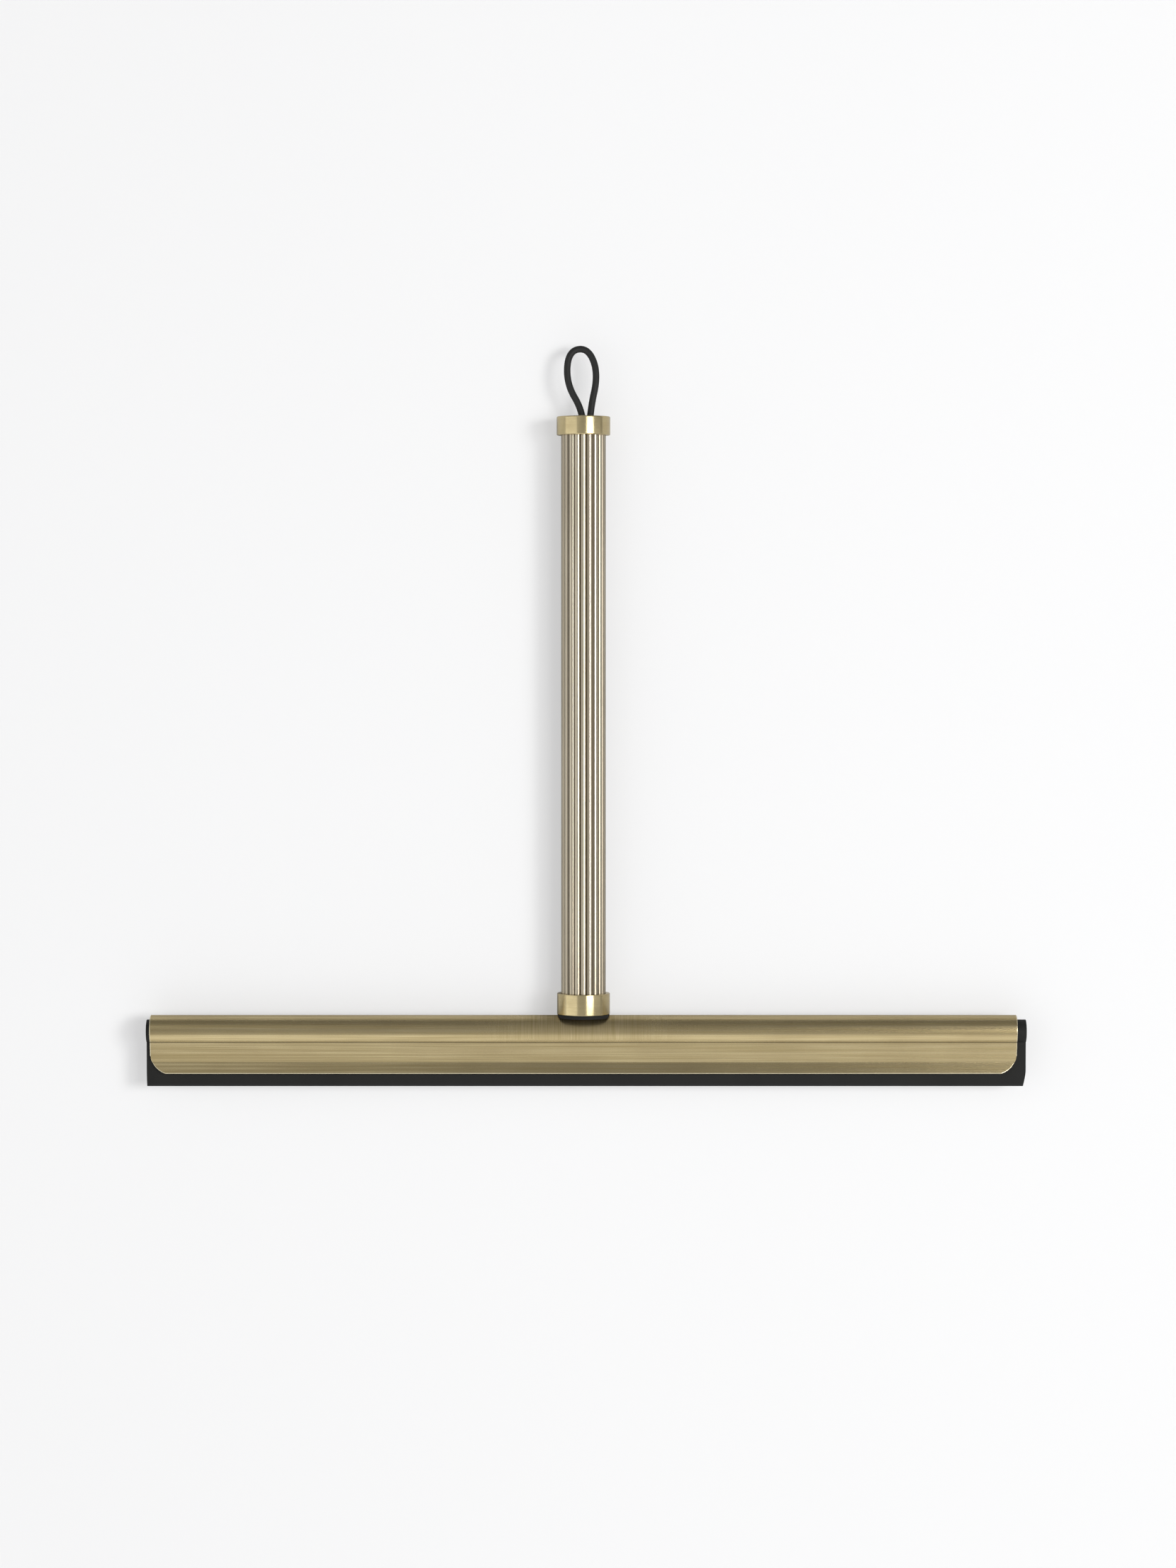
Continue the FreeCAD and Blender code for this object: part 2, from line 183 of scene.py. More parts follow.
def channel_stations():
    """Where the channel's outlines stand: dense at both ends, where the corners and the deburring are."""
    chord = math.hypot(CORNER_WIDTH, CORNER_DEPTH)
    sink = math.sqrt(CORNER_RADIUS ** 2 - chord ** 2 / 4)
    middle = np.array([CORNER_WIDTH / 2, CORNER_DEPTH / 2])
    centre = middle + sink * np.array([CORNER_DEPTH, CORNER_WIDTH]) / chord
    first = math.atan2(CORNER_DEPTH - centre[1], -centre[0])
    last = math.atan2(-centre[1], CORNER_WIDTH - centre[0])
    if last < first:
        first -= 2 * math.pi
    angles = np.linspace(first, last, CORNER_RINGS)
    bends = [centre + CORNER_RADIUS * np.array([math.cos(a), math.sin(a)]) for a in angles]
    stations = []
    for turn in np.linspace(0, math.pi / 2, DEBURR_RINGS):
        inwards = EDGE_ROUND * (1 - math.sin(turn))
        stations.append((EDGE_ROUND * (1 - math.cos(turn)), CORNER_DEPTH, inwards))
    stations += [(x, y, 0.0) for x, y in bends if x > EDGE_ROUND]
    stations += [(CORNER_WIDTH + extra * MM, 0.0, 0.0) for extra in (0.05, 4.0, 12.0, 30.0, 60.0, 100.0)]
    return stations


stations = channel_stations()
rings = [channel_ring(channel_low.x + place, cut, inset) for place, cut, inset in stations]
rings += [channel_ring(channel_high.x - place, cut, inset) for place, cut, inset in reversed(stations)]
size = len(rings[0])
# round a ring: the outside from lip to lip, one lip's edge, the inside back, the other lip's edge
outside_end = 2 * len(PATH_STEPS) - 2
inside_start = outside_end + 7
inside_end = inside_start + outside_end
ends = [(i, i + 1, inside_end - 1 - i, inside_end - i) for i in range(outside_end)]
ends += [tuple(range(outside_end, inside_start + 1)), (*range(inside_end, size), 0)]
channel = skin("channel_brass_sheet", rings, ends)

# bare metal shows at both lips' edges and where the ends were deburred, painted lighter still as a painted
# highlight
on_edge = np.zeros((len(rings), size))
on_edge[:, 0] = 1.0
on_edge[:, outside_end:inside_start + 1] = 1.0
on_edge[:, inside_end:] = 1.0
on_edge[:DEBURR_RINGS] = 1.0
on_edge[-DEBURR_RINGS:] = 1.0
edge_mark = channel.data.attributes.new("cut_edge", "FLOAT", "POINT")
edge_mark.data.foreach_set("value", on_edge.ravel())
# painted shade along the crease, strongest on its line
crease = np.exp(-((PATH_STEPS - CREASE_LINE) / CREASE_SHADE_REACH) ** 2)
crease_shade_mask = np.zeros((len(rings), size))
crease_shade_mask[:, :outside_end + 1] = np.concatenate([crease, crease[-2::-1]])
crease_mark = channel.data.attributes.new("crease_shade_mask", "FLOAT", "POINT")
crease_mark.data.foreach_set("value", crease_shade_mask.ravel())


def linear(hex_colour):
    """An sRGB hex colour as the linear one that Blender's sockets take."""
    shares = [int(hex_colour[k:k + 2], 16) / 255 for k in (1, 3, 5)]
    return (*[s / 12.92 if s <= 0.04045 else ((s + 0.055) / 1.055) ** 2.4 for s in shares], 1.0)


def add(tree, kind, feeds=None, **settings):
    """Adds a node: settings are its own, and feeds are its sockets' values, or the outputs linked to them."""
    made = tree.nodes.new(kind)
    for name, value in settings.items():
        setattr(made, name, value)
    for socket, value in (feeds or {}).items():
        if isinstance(value, bpy.types.NodeSocket):
            tree.links.new(value, made.inputs[socket])
        else:
            made.inputs[socket].default_value = value
    return made


def new_material(name):
    """An empty node material and its tree."""
    material = bpy.data.materials.new(name)
    material.use_nodes = True
    material.node_tree.nodes.clear()
    return material, material.node_tree


BRASS_LIGHT = "#dccb9f"       # freshly brushed
BRASS_DARK = "#b9a678"        # floor of a scratch
BRASS_DULL = "#b3a077"        # handled
BRASS_CUT_AND_HIGHLIGHT = "#f4e9c8"         # bare metal at a deburred edge, lightened further as a painted highlight
BRASS_CREASE_SHADE = "#4e4430"      # painted shade in the crease

# Half-hard sheet brass brushed with a coarse belt. The scratches run along X, so highlights smear
# round the fold, and handling has dulled it in soft patches.
channel_finish, tree = new_material("brass_sheet_brushed_lengthwise")
place = add(tree, "ShaderNodeTexCoord").outputs["Object"]
# scratches 0.35 mm apart and 45 mm long, and a few deeper ones 1.2 mm apart
fine_at = add(tree, "ShaderNodeMapping", {"Vector": place, "Scale": (22.0, 2800.0, 2800.0)}).outputs[0]
fine = add(tree, "ShaderNodeTexNoise", {"Vector": fine_at, "Scale": 1.0, "Detail": 3.0}).outputs["Fac"]
deep_at = add(tree, "ShaderNodeMapping", {"Vector": place, "Scale": (9.0, 850.0, 850.0)}).outputs[0]
deep = add(tree, "ShaderNodeTexNoise", {"Vector": deep_at, "Scale": 1.0, "Detail": 2.0}).outputs["Fac"]
along = add(tree, "ShaderNodeMix", {0: 0.55, 2: fine, 3: deep}).outputs[0]
# the spine was linished across within about 40 mm of the grip, after brazing
cross_at = add(tree, "ShaderNodeMapping", {"Vector": place, "Scale": (2400.0, 60.0, 60.0)}).outputs[0]
cross = add(tree, "ShaderNodeTexNoise", {"Vector": cross_at, "Scale": 1.0, "Detail": 3.0}).outputs["Fac"]
axes = add(tree, "ShaderNodeSeparateXYZ", {0: place}).outputs
far = add(tree, "ShaderNodeMath", {0: axes["X"]}, operation="ABSOLUTE").outputs[0]
patch_at = add(tree, "ShaderNodeMapping", {"Vector": place, "Scale": (30.0, 60.0, 60.0)}).outputs[0]
patch = add(tree, "ShaderNodeTexNoise", {"Vector": patch_at, "Scale": 1.0, "Detail": 3.0}).outputs["Fac"]
wander = add(tree, "ShaderNodeMath", {0: patch, 1: 0.030, 2: far}, operation="MULTIPLY_ADD").outputs[0]
near = add(tree, "ShaderNodeMapRange", {
    "Value": wander, "From Min": 0.028, "From Max": 0.062, "To Min": 0.75, "To Max": 0.0,
}).outputs[0]
on_spine = add(tree, "ShaderNodeMapRange", {
    "Value": axes["Y"], "From Min": CREASE_Y - 0.6 * MM, "From Max": CREASE_Y + 1.5 * MM,
}).outputs[0]
linished = add(tree, "ShaderNodeMath", {0: near, 1: on_spine}, operation="MULTIPLY").outputs[0]
scratches = add(tree, "ShaderNodeMix", {0: linished, 2: along, 3: cross}).outputs[0]
marks = add(tree, "ShaderNodeMapRange", {"Value": scratches, "From Min": 0.34, "From Max": 0.66}).outputs[0]
worn = add(tree, "ShaderNodeMapRange", {"Value": patch, "From Min": 0.35, "From Max": 0.7}).outputs[0]
clean = add(
    tree, "ShaderNodeMix", {0: marks, 6: linear(BRASS_DARK), 7: linear(BRASS_LIGHT)}, data_type="RGBA"
).outputs[2]
toned = add(tree, "ShaderNodeMix", {0: worn, 6: clean, 7: linear(BRASS_DULL)}, data_type="RGBA").outputs[2]
tarnish = add(tree, "ShaderNodeMix", {0: 0.45, 6: clean, 7: toned}, data_type="RGBA").outputs[2]
# painted highlight, partly bare metal, on the lip edges and the deburred ends
cut = add(tree, "ShaderNodeAttribute", attribute_name="cut_edge").outputs["Fac"]
edged = add(tree, "ShaderNodeMix", {0: cut, 6: tarnish, 7: linear(BRASS_CUT_AND_HIGHLIGHT)}, data_type="RGBA").outputs[2]
# painted shade: the crease is painted dark where its shade falls
fold = add(tree, "ShaderNodeAttribute", attribute_name="crease_shade_mask").outputs["Fac"]
crease_shade_share = add(tree, "ShaderNodeMath", {0: fold, 1: 0.9}, operation="MULTIPLY").outputs[0]
colour = add(
    tree, "ShaderNodeMix", {0: crease_shade_share, 6: edged, 7: linear(BRASS_CREASE_SHADE)}, data_type="RGBA"
).outputs[2]
belt = add(tree, "ShaderNodeMapRange", {
    "Value": marks, "From Min": 0.3, "From Max": 0.7, "To Min": 0.29, "To Max": 0.21,
}).outputs[0]
rough = add(tree, "ShaderNodeMix", {0: linished, 2: belt, 3: 0.34}).outputs[0]
relief = add(tree, "ShaderNodeBump", {"Strength": 0.18, "Distance": 0.00006, "Height": marks}).outputs[0]
across = add(tree, "ShaderNodeTangent", direction_type="UV_MAP", uv_map="across").outputs[0]
surface = add(tree, "ShaderNodeBsdfPrincipled", {
    "Base Color": colour, "Metallic": 1.0, "Roughness": rough, "Anisotropic": 0.75,
    "Normal": relief, "Tangent": across,
})
add(tree, "ShaderNodeOutputMaterial", {"Surface": surface.outputs[0]})
channel.data.materials.append(channel_finish)
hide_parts("blade_channel")
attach(channel, "handle_and_channel")


# ---- Core rod ----------------------------------------------------------------------------
# Natural nylon rod, extruded, cut to the channel's length and turned a little at both ends. It fills
# the fold of the rubber and keeps it from being drawn out between the jaws.
ROD_CHAMFER = 0.35 * MM
ROD_SIDES = 64
NYLON = "#d6d0c0"
NYLON_SHADE = "#cbc4b2"

rod_low, rod_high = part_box("core_rod")
rod_radius = (rod_high.z - rod_low.z) / 2
rod_y = (rod_high.y + rod_low.y) / 2


def rod_ring(x, radius):
    """The rod's outline at one place along it."""
    turns = [2 * math.pi * k / ROD_SIDES for k in range(ROD_SIDES)]
    return [(x, rod_y + radius * math.cos(a), BLADE_Z + radius * math.sin(a)) for a in turns]


rod = skin("core_rod_nylon", [
    rod_ring(rod_low.x, rod_radius - ROD_CHAMFER),
    rod_ring(rod_low.x + ROD_CHAMFER, rod_radius),
    rod_ring(rod_high.x - ROD_CHAMFER, rod_radius),
    rod_ring(rod_high.x, rod_radius - ROD_CHAMFER),
], [tuple(range(ROD_SIDES))])
rod_finish, tree = new_material("nylon_extruded_natural")
place = add(tree, "ShaderNodeTexCoord").outputs["Object"]
# die lines 0.5 mm apart along the rod
stretched = add(tree, "ShaderNodeMapping", {"Vector": place, "Scale": (12.0, 2000.0, 2000.0)}).outputs[0]
lines = add(tree, "ShaderNodeTexNoise", {"Vector": stretched, "Scale": 1.0, "Detail": 2.0}).outputs[0]
tone = add(
    tree, "ShaderNodeMix", {0: lines, 6: linear(NYLON_SHADE), 7: linear(NYLON)}, data_type="RGBA"
).outputs[2]
relief = add(tree, "ShaderNodeBump", {"Strength": 0.25, "Distance": 0.00004, "Height": lines}).outputs[0]
surface = add(tree, "ShaderNodeBsdfPrincipled", {
    "Base Color": tone, "Roughness": 0.42, "IOR": 1.53, "Subsurface Weight": 0.08, "Subsurface Scale": 0.002,
    "Normal": relief,
})
add(tree, "ShaderNodeOutputMaterial", {"Surface": surface.outputs[0]})
rod.data.materials.append(rod_finish)
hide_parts("core_rod")
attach(rod, "blade")


# ---- Rubber blade ------------------------------------------------------------------------
# One strip of black natural rubber folded double round the rod, so that two layers come down through
# the jaws. Its long edges are knife cut and keen, and its ends were trimmed by hand, not quite square.
PLY = 1.2 * MM
PLY_GAP = 0.2 * MM
TRIM_ROUND = 0.12 * MM
TRIM_SLANT = 1.1 * MM         # the +X end, at the wiping edge
TRIM_SLANT_OTHER = 0.15 * MM
TRIM_HEIGHT = 6.0 * MM        # how far up from the wiping edge the trim is out of square
TRIM_LENGTH = 6.0 * MM        # how far in from the end that shows
TRIM_ENDS = (                 # a trimmed end's outlines: distance from it, and how far drawn in
    (0.0, 0.08 * MM),
    (0.03 * MM, 0.03 * MM),
    (0.10 * MM, 0.0),
)
FLAT_SPOTS = 20               # points of the outline down one layer
BEAD_SPOTS = 34               # and round half of the fold

rubber_low, rubber_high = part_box("rubber_blade")
bead_radius = (rubber_high.z - rubber_low.z) / 2
bead_y = rubber_high.y - bead_radius


def rubber_ring(x, slant, inset):
    """The doubled strip's outline: slant draws its lower part back, inset rounds the trimmed end."""
    outer_half = PLY + PLY_GAP / 2 - inset
    inner_half = PLY_GAP / 2 + inset
    outer_bead = bead_radius - inset
    inner_bead = bead_radius - PLY + inset
    foot = rubber_low.y + inset
    outer_start = math.asin(outer_half / outer_bead)
    inner_start = math.asin(inner_half / inner_bead)

    def side(half, bead, start):
        heights = np.linspace(foot + TRIM_ROUND, bead_y - bead * math.cos(start), FLAT_SPOTS)[:-1]
        flat = [(y, half) for y in heights]
        arc = [
            (bead_y - bead * math.cos(a), bead * math.sin(a))
            for a in np.linspace(start, math.pi, BEAD_SPOTS)
        ]
        return flat + arc

    outside = side(outer_half, outer_bead, outer_start)
    inside = side(inner_half, inner_bead, inner_start)
    toe = [(foot + TRIM_ROUND * 0.3, outer_half - TRIM_ROUND * 0.3), (foot, outer_half - TRIM_ROUND)]
    toe += [(foot, inner_half + TRIM_ROUND * 0.5), (foot + TRIM_ROUND * 0.3, inner_half + TRIM_ROUND * 0.1)]

    def flipped(points):
        return [(y, -z) for y, z in points]

    loop = outside + flipped(outside[-2::-1]) + flipped(toe) + flipped(inside) + inside[-2::-1] + toe[::-1]
    placed = []
    for y, z in loop:
        drop = min(max(1 - (y - rubber_low.y) / TRIM_HEIGHT, 0.0), 1.0)
        placed.append((x + slant * drop ** 1.4, y, BLADE_Z + z))
    return placed


rings = [rubber_ring(rubber_low.x + off, TRIM_SLANT_OTHER, inset) for off, inset in TRIM_ENDS]
rings += [rubber_ring(x, 0.0, 0.0) for x in (rubber_low.x + TRIM_LENGTH, rubber_high.x - TRIM_LENGTH)]
rings += [rubber_ring(rubber_high.x - off, -TRIM_SLANT, inset) for off, inset in reversed(TRIM_ENDS)]
size = len(rings[0])
# round a ring: the outside from edge to edge, one edge's toe, the inside back, the other edge's toe
outside_end = 2 * (FLAT_SPOTS - 1 + BEAD_SPOTS) - 2
inside_start = outside_end + 5
inside_end = inside_start + outside_end
ends = [(i, i + 1, inside_end - 1 - i, inside_end - i) for i in range(outside_end)]
ends += [tuple(range(outside_end, inside_start + 1)), (*range(inside_end, size), 0)]
rubber = skin("rubber_blade_strip", rings, ends)

RUBBER_BLACK = "#151513"
RUBBER_EDGE_LIGHTER = "#1b1b1a"
rubber_finish, tree = new_material("natural_rubber_black")
place = add(tree, "ShaderNodeTexCoord").outputs["Object"]
# calendered sheet: a fine grain about 0.25 mm across, and slow bloom on the surface
grain = add(tree, "ShaderNodeTexNoise", {"Vector": place, "Scale": 4000.0, "Detail": 2.0}).outputs[0]
bloom = add(tree, "ShaderNodeTexNoise", {"Vector": place, "Scale": 55.0, "Detail": 4.0}).outputs[0]
axes = add(tree, "ShaderNodeSeparateXYZ", {0: place}).outputs
# the strip is painted a little lighter along its bottom millimetre
bottom_edge_lighter = add(tree, "ShaderNodeMapRange", {
    "Value": axes["Y"], "From Min": rubber_low.y + 0.7 * MM, "From Max": rubber_low.y + 1.3 * MM,
    "To Min": 1.0, "To Max": 0.0,
}).outputs[0]
soft = add(tree, "ShaderNodeMath", {0: bloom, 1: 0.45}, operation="MULTIPLY").outputs[0]
lighter = add(tree, "ShaderNodeMath", {0: bottom_edge_lighter, 1: soft}, operation="MAXIMUM").outputs[0]
tone = add(
    tree, "ShaderNodeMix", {0: lighter, 6: linear(RUBBER_BLACK), 7: linear(RUBBER_EDGE_LIGHTER)}, data_type="RGBA"
).outputs[2]
rough = add(tree, "ShaderNodeMapRange", {"Value": bloom, "To Min": 0.62, "To Max": 0.80}).outputs[0]
relief = add(tree, "ShaderNodeBump", {"Strength": 0.25, "Distance": 0.00005, "Height": grain}).outputs[0]
surface = add(tree, "ShaderNodeBsdfPrincipled", {
    "Base Color": tone, "Roughness": rough, "IOR": 1.52, "Specular IOR Level": 0.35, "Normal": relief,
})
add(tree, "ShaderNodeOutputMaterial", {"Surface": surface.outputs[0]})
rubber.data.materials.append(rubber_finish)
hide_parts("rubber_blade")
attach(rubber, "blade")


# ---- Handle stud, lower plug and cap bush ------------------------------------------------
# Free-cutting brass, turned. The stud stands brazed on the spine's ridge, which has darkened it. The
# plug and the bush are bonded in the tube, as they left the lathe.
SCALE_BLACK = "#15120d"
SCALE_BROWN = "#3a3020"

inner_finish, tree = new_material("brass_turned_as_machined")
place = add(tree, "ShaderNodeTexCoord").outputs["Object"]
# feed marks 0.3 mm apart up the handle
feed_at = add(tree, "ShaderNodeMapping", {"Vector": place, "Scale": (20.0, 3300.0, 20.0)}).outputs[0]
feed = add(tree, "ShaderNodeTexNoise", {"Vector": feed_at, "Scale": 1.0, "Detail": 1.0}).outputs[0]
tone = add(
    tree, "ShaderNodeMix", {0: feed, 6: linear(BRASS_DARK), 7: linear(BRASS_LIGHT)}, data_type="RGBA"
).outputs[2]
relief = add(tree, "ShaderNodeBump", {"Strength": 0.4, "Distance": 0.00005, "Height": feed}).outputs[0]
surface = add(tree, "ShaderNodeBsdfPrincipled", {
    "Base Color": tone, "Metallic": 1.0, "Roughness": 0.32, "Normal": relief,
})
add(tree, "ShaderNodeOutputMaterial", {"Surface": surface.outputs[0]})
stud_finish, tree = new_material("brass_darkened_by_brazing")
place = add(tree, "ShaderNodeTexCoord").outputs["Object"]
# scale and flux in blotches 2 mm across
scale_marks = add(tree, "ShaderNodeTexNoise", {"Vector": place, "Scale": 500.0, "Detail": 4.0}).outputs[0]
tone = add(
    tree, "ShaderNodeMix", {0: scale_marks, 6: linear(SCALE_BLACK), 7: linear(SCALE_BROWN)}, data_type="RGBA"
).outputs[2]
relief = add(tree, "ShaderNodeBump", {"Strength": 0.4, "Distance": 0.00008, "Height": scale_marks}).outputs[0]
surface = add(tree, "ShaderNodeBsdfPrincipled", {
    "Base Color": tone, "Metallic": 0.4, "Roughness": 0.65, "Normal": relief,
})
add(tree, "ShaderNodeOutputMaterial", {"Surface": surface.outputs[0]})
for name, finish in (("handle_stud", stud_finish), ("lower_plug", inner_finish), ("cap_bush", inner_finish)):
    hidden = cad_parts[name]
    hidden.data.materials.clear()
    hidden.data.materials.append(finish)


# ---- Saddle washer -----------------------------------------------------------------------
# Black rubber washer, moulded with a hollow that sits on the spine. The collar squeezes it, which
# keeps water and grit from under the joint.
WASHER_BORE = 6.55 * MM
WASHER_ROUND = 0.15 * MM
WASHER_SIDES = 192
WASHER_FOOT_STEPS = 8
WASHER_BLACK = "#111110"
WASHER_GREY = "#1d1d1b"

washer_low, washer_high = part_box("saddle_washer")
washer_radius = (washer_high.x - washer_low.x) / 2
HANDLE_Z = BLADE_Z


def washer_foot(z):
    """Height of the washer's underside: flat at its skirt, hollowed where the spine is."""
    if abs(z) >= SPINE_RADIUS:
        return washer_low.y
    return max(washer_low.y, SPINE_Y + math.sqrt(SPINE_RADIUS ** 2 - z ** 2))


def washer_ring(angle):
    """The washer's section at one angle round the handle, from its bore over the rim and back below."""
    rim = washer_radius - WASHER_ROUND
    top = washer_high.y

    def spot(radius, y):
        return (radius * math.sin(angle), y, HANDLE_Z + radius * math.cos(angle))

    ring = [spot(WASHER_BORE, top), spot(rim, top)]
    ring.append(spot(washer_radius - WASHER_ROUND * 0.3, top - WASHER_ROUND * 0.3))
    ring.append(spot(washer_radius, top - WASHER_ROUND))
    foot = washer_foot(washer_radius * math.cos(angle))
    ring.append(spot(washer_radius, min(foot + WASHER_ROUND, top - WASHER_ROUND * 1.1)))
    for step in range(WASHER_FOOT_STEPS + 1):
        radius = rim + (WASHER_BORE - rim) * step / WASHER_FOOT_STEPS
        ring.append(spot(radius, washer_foot(radius * math.cos(angle))))
    return ring


rings = [washer_ring(2 * math.pi * k / WASHER_SIDES) for k in range(WASHER_SIDES)]
washer = skin("saddle_washer_rubber", rings, closed=True)

washer_finish, tree = new_material("rubber_moulded_black")
place = add(tree, "ShaderNodeTexCoord").outputs["Object"]
# spark-eroded mould: 0.3 mm grain
grain = add(tree, "ShaderNodeTexNoise", {"Vector": place, "Scale": 3300.0, "Detail": 2.0}).outputs[0]
tone = add(
    tree, "ShaderNodeMix", {0: grain, 6: linear(WASHER_BLACK), 7: linear(WASHER_GREY)}, data_type="RGBA"
).outputs[2]
relief = add(tree, "ShaderNodeBump", {"Strength": 0.3, "Distance": 0.00005, "Height": grain}).outputs[0]
surface = add(tree, "ShaderNodeBsdfPrincipled", {
    "Base Color": tone, "Roughness": 0.7, "IOR": 1.52, "Specular IOR Level": 0.3, "Normal": relief,
})
add(tree, "ShaderNodeOutputMaterial", {"Surface": surface.outputs[0]})
washer.data.materials.append(washer_finish)
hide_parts("saddle_washer")
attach(washer, "handle_and_channel")


# ---- Lower collar ------------------------------------------------------------------------
# Turned from brass bar and fine brushed in the lathe. Its socket takes the tube, a web in it rests
# on the stud's foot, and both outer rims have a narrow bright chamfer.
COLLAR_CHAMFER = 0.25 * MM
TUBE_SOCKET = 8.95 * MM       # radius of the sockets in the collar and the cap
COLLAR_SOCKET_DEPTH = 3.4 * MM
COLLAR_WEB = 2.4 * MM
STUD_HOLE = 4.25 * MM
FOOT_RECESS = 6.55 * MM

collar_low, collar_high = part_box("lower_collar")
collar_radius = (collar_high.x - collar_low.x) / 2


def lathe(name, profile, sides=160):
    """A turned piece. Its closed profile is radius, height up the handle and how far the corner is broken."""
    outline = []
    for k, (radius, y, broken) in enumerate(profile):
        here = np.array([radius, y])
        if not broken:
            outline.append(here)
            continue
        before = np.array(profile[k - 1][:2]) - here
        after = np.array(profile[(k + 1) % len(profile)][:2]) - here
        first = here + before / np.linalg.norm(before) * broken
        last = here + after / np.linalg.norm(after) * broken
        for share in np.linspace(0, 1, 7):
            outline.append((1 - share) ** 2 * first + 2 * share * (1 - share) * here + share ** 2 * last)
    rings = []
    for k in range(sides):
        angle = 2 * math.pi * k / sides
        rings.append([(r * math.sin(angle), y, HANDLE_Z + r * math.cos(angle)) for r, y in outline])
    return skin(name, rings, closed=True)


socket_floor = collar_high.y - COLLAR_SOCKET_DEPTH
web_y = socket_floor - COLLAR_WEB
collar = lathe("lower_collar_brass", [
    (FOOT_RECESS, collar_low.y, 0.1 * MM),
    (collar_radius, collar_low.y, COLLAR_CHAMFER),
    (collar_radius, collar_high.y, COLLAR_CHAMFER),
    (TUBE_SOCKET, collar_high.y, 0.12 * MM),
    (TUBE_SOCKET, socket_floor, 0),
    (STUD_HOLE, socket_floor, 0.1 * MM),
    (STUD_HOLE, web_y, 0.1 * MM),
    (FOOT_RECESS, web_y, 0),
])

TURNED_LIGHT = "#e2d2a6"
TURNED_DARK = "#cdbb8c"
turned_finish, tree = new_material("brass_turned_fine_brushed")
place = add(tree, "ShaderNodeTexCoord").outputs["Object"]
# rings round the axis 0.25 mm apart, left by emery held against the turning piece
ring_at = add(tree, "ShaderNodeMapping", {"Vector": place, "Scale": (35.0, 4000.0, 35.0)}).outputs[0]
marks = add(tree, "ShaderNodeTexNoise", {"Vector": ring_at, "Scale": 1.0, "Detail": 2.0}).outputs[0]
patch = add(tree, "ShaderNodeTexNoise", {"Vector": place, "Scale": 160.0, "Detail": 3.0}).outputs[0]
clean = add(
    tree, "ShaderNodeMix", {0: marks, 6: linear(TURNED_DARK), 7: linear(TURNED_LIGHT)}, data_type="RGBA"
).outputs[2]
handled = add(tree, "ShaderNodeMapRange", {
    "Value": patch, "From Min": 0.45, "From Max": 0.75, "To Min": 0.0, "To Max": 0.35,
}).outputs[0]
tone = add(tree, "ShaderNodeMix", {0: handled, 6: clean, 7: linear(BRASS_DULL)}, data_type="RGBA").outputs[2]
rough = add(tree, "ShaderNodeMapRange", {"Value": patch, "To Min": 0.20, "To Max": 0.30}).outputs[0]
relief = add(tree, "ShaderNodeBump", {"Strength": 0.10, "Distance": 0.00003, "Height": marks}).outputs[0]
across = add(tree, "ShaderNodeTangent", direction_type="UV_MAP", uv_map="across").outputs[0]
surface = add(tree, "ShaderNodeBsdfPrincipled", {
    "Base Color": tone, "Metallic": 1.0, "Roughness": rough, "Anisotropic": 0.7,
    "Normal": relief, "Tangent": across,
})
add(tree, "ShaderNodeOutputMaterial", {"Surface": surface.outputs[0]})
collar.data.materials.append(turned_finish)
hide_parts("lower_collar")
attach(collar, "handle_and_channel")


# ---- Handle tube -------------------------------------------------------------------------
# Drawn brass tube with twenty rounded reeds, which give a wet hand its hold. The die leaves lines
# along it. Crests are painted lighter, part burnish and part painted highlight; grooves get painted shade.
REEDS = 20
STEPS_PER_REED = 16
REED_DEPTH = 0.75 * MM
TUBE_WALL = 1.2 * MM

tube_low, tube_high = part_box("handle_tube")
tube_radius = (tube_high.z - tube_low.z) / 2
reeding = bpy.data.node_groups.new("reeded_tube", "GeometryNodeTree")
for name, kind, value in (
    ("Reeds", "NodeSocketInt", REEDS),
    ("Steps per Reed", "NodeSocketInt", STEPS_PER_REED),
    ("Crest Radius", "NodeSocketFloat", tube_radius),
    ("Reed Depth", "NodeSocketFloat", REED_DEPTH),
    ("Wall", "NodeSocketFloat", TUBE_WALL),
    ("Start", "NodeSocketFloat", tube_low.y),
    ("End", "NodeSocketFloat", tube_high.y),
    ("Axis Height", "NodeSocketFloat", HANDLE_Z),
    ("Finish", "NodeSocketMaterial", None),
):
    socket = reeding.interface.new_socket(name=name, in_out="INPUT", socket_type=kind)
    if value is not None:
        socket.default_value = value
reeding.interface.new_socket(name="Geometry", in_out="OUTPUT", socket_type="NodeSocketGeometry")
given = add(reeding, "NodeGroupInput").outputs


def reckon(operation, *values, clamp=False):
    """The result of one sum in the reeding tree."""
    feeds = dict(enumerate(values))
    return add(reeding, "ShaderNodeMath", feeds, operation=operation, use_clamp=clamp).outputs[0]


sides = reckon("MULTIPLY", given["Reeds"], given["Steps per Reed"])
# four rows of faces, bent into the outside, one end ring, the bore and the other end ring
blank = add(
    reeding,
    "GeometryNodeMeshCylinder",
    {"Vertices": sides, "Side Segments": 4, "Radius": 1.0, "Depth": 4.0},
    fill_type="NONE",
)
position = add(reeding, "GeometryNodeInputPosition").outputs[0]
spot = add(reeding, "ShaderNodeSeparateXYZ", {0: position}).outputs
angle = reckon("ARCTAN2", spot["X"], spot["Y"])
